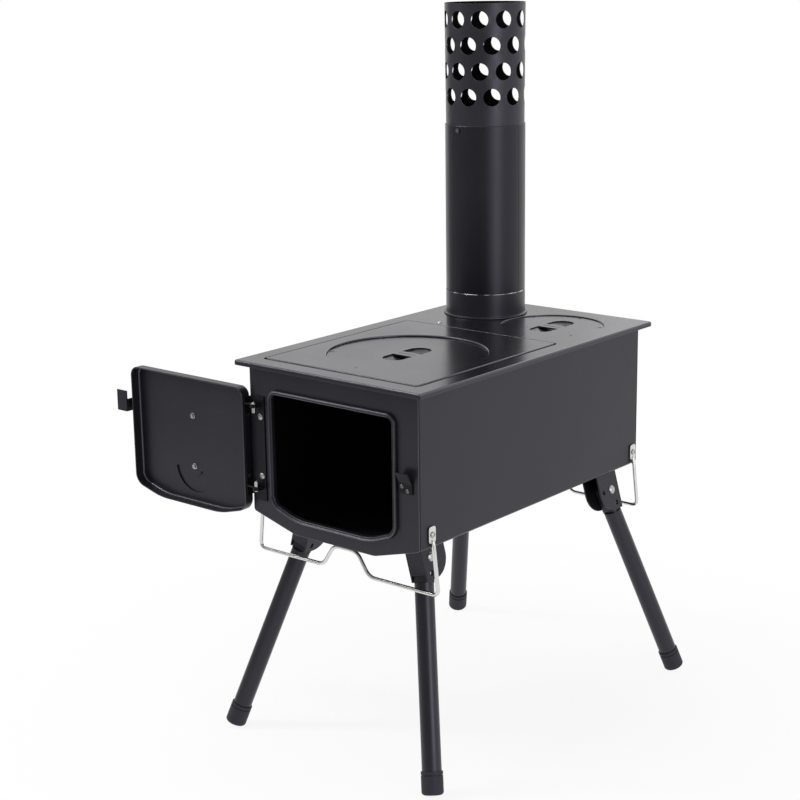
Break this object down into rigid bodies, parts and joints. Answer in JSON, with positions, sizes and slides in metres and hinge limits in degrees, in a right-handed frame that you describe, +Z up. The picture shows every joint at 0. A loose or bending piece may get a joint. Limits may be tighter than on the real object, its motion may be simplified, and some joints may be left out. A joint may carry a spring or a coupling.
{
  "type": "tent wood stove",
  "caption": "Portable sheet-steel wood stove on folding legs, with a side-hung door, latch, air damper, lift-off cooktop and lids, and a flue pipe with a perforated spark arrestor.",
  "frame": {"origin": "point on the floor under the middle of the firebox's front plate's outer face", "axes": "+Z up, +Y from the door to the back, +X to the right for someone facing the door"},
  "size_m": [0.5508, 0.513, 0.8769],
  "materials": {
    "black_paint": "satin heat-resistant paint",
    "zinc_hardware": "zinc plated",
    "stainless_wire": "bright drawn wire",
    "black_rubber": "matte"
  },
  "bodies": {
    "firebox": {"firebox_shell": "black_paint", "front_plate": "black_paint", "back_plate": "black_paint", "top_frame": "black_paint", "top_screw": "zinc_hardware", "flue_collar": "black_paint", "hinge_bracket": "black_paint", "hinge_pins": "zinc_hardware", "hinge_screws": "zinc_hardware", "latch_keeper": "black_paint", "keeper_rivets": "zinc_hardware", "leg_bolts": "zinc_hardware", "bail_rivets": "zinc_hardware", "front_right_bracket": "black_paint", "front_left_bracket": "black_paint", "rear_right_bracket": "black_paint", "rear_left_bracket": "black_paint"},
    "door": {"door_panel": "black_paint", "door_leaf": "black_paint", "leaf_rivets": "zinc_hardware", "latch_screw": "zinc_hardware", "damper_screw": "zinc_hardware"},
    "latch": {"latch_lever": "black_paint"},
    "damper": {"damper_disc": "black_paint"},
    "cooktop": {"cooktop_plate": "black_paint"},
    "large_lid": {"large_lid": "black_paint"},
    "small_lid": {"small_lid": "black_paint"},
    "flue": {"flue_pipe": "black_paint", "spark_arrestor": "black_paint", "arrestor_screw": "zinc_hardware"},
    "front_bail": {"front_bail": "stainless_wire"},
    "rear_bail": {"rear_bail": "stainless_wire"},
    "front_right_leg": {"front_right_fork": "black_paint", "front_right_tube": "black_paint", "front_right_foot": "black_rubber", "front_right_lock": "zinc_hardware"},
    "front_left_leg": {"front_left_fork": "black_paint", "front_left_tube": "black_paint", "front_left_foot": "black_rubber", "front_left_lock": "zinc_hardware"},
    "rear_right_leg": {"rear_right_fork": "black_paint", "rear_right_tube": "black_paint", "rear_right_foot": "black_rubber", "rear_right_lock": "zinc_hardware"},
    "rear_left_leg": {"rear_left_fork": "black_paint", "rear_left_tube": "black_paint", "rear_left_foot": "black_rubber", "rear_left_lock": "zinc_hardware"}
  },
  "joints": [
    {"name": "door_hinge", "type": "hinge", "parent": "firebox", "child": "door", "pos_m": [-0.1164, -0.008, 0.3687], "axis": [0, 0, 1], "range_deg": [0, 180]},
    {"name": "latch_turn", "type": "hinge", "parent": "door", "child": "latch", "pos_m": [-0.2328, 0.0038, 0.38671], "axis": [0, 1, 0], "range_deg": [-2.9, 10]},
    {"name": "damper_turn", "type": "hinge", "parent": "door", "child": "damper", "pos_m": [-0.2328, 0.0038, 0.32131], "axis": [0, -1, 0], "range_deg": [0, 166]},
    {"name": "cooktop_lift", "type": "slide", "parent": "firebox", "child": "cooktop", "axis": [0, 0, 1], "range_m": [0, 0.12]},
    {"name": "large_lid_lift", "type": "slide", "parent": "cooktop", "child": "large_lid", "axis": [0, 0, 1], "range_m": [0, 0.12]},
    {"name": "small_lid_lift", "type": "slide", "parent": "firebox", "child": "small_lid", "axis": [0, 0, 1], "range_m": [0, 0.12]},
    {"name": "flue_lift", "type": "slide", "parent": "firebox", "child": "flue", "axis": [0, 0, 1], "range_m": [0, 0.08]},
    {"name": "front_right_leg_fold", "type": "hinge", "parent": "firebox", "child": "front_right_leg", "pos_m": [0.08955, 0.0552, 0.25594], "axis": [0.9642, 0, 0.2652], "range_deg": [0, 105.57]},
    {"name": "front_left_leg_fold", "type": "hinge", "parent": "firebox", "child": "front_left_leg", "pos_m": [-0.08955, 0.0552, 0.25594], "axis": [0.9642, 0, -0.2652], "range_deg": [0, 105.57]},
    {"name": "rear_right_leg_fold", "type": "hinge", "parent": "firebox", "child": "rear_right_leg", "pos_m": [0.1149, 0.4, 0.25617], "axis": [-0.9642, 0, -0.2652], "range_deg": [0, 105.38]},
    {"name": "rear_left_leg_fold", "type": "hinge", "parent": "firebox", "child": "rear_left_leg", "pos_m": [-0.1149, 0.4, 0.25617], "axis": [-0.9642, 0, 0.2652], "range_deg": [0, 105.38]},
    {"name": "front_bail_swing", "type": "hinge", "parent": "firebox", "child": "front_bail", "pos_m": [0, 0.02, 0.30171], "axis": [1, 0, 0], "range_deg": [-35, 6]},
    {"name": "rear_bail_swing", "type": "hinge", "parent": "firebox", "child": "rear_bail", "pos_m": [0, 0.441, 0.30171], "axis": [1, 0, 0], "range_deg": [-12, 35]}
  ]
}
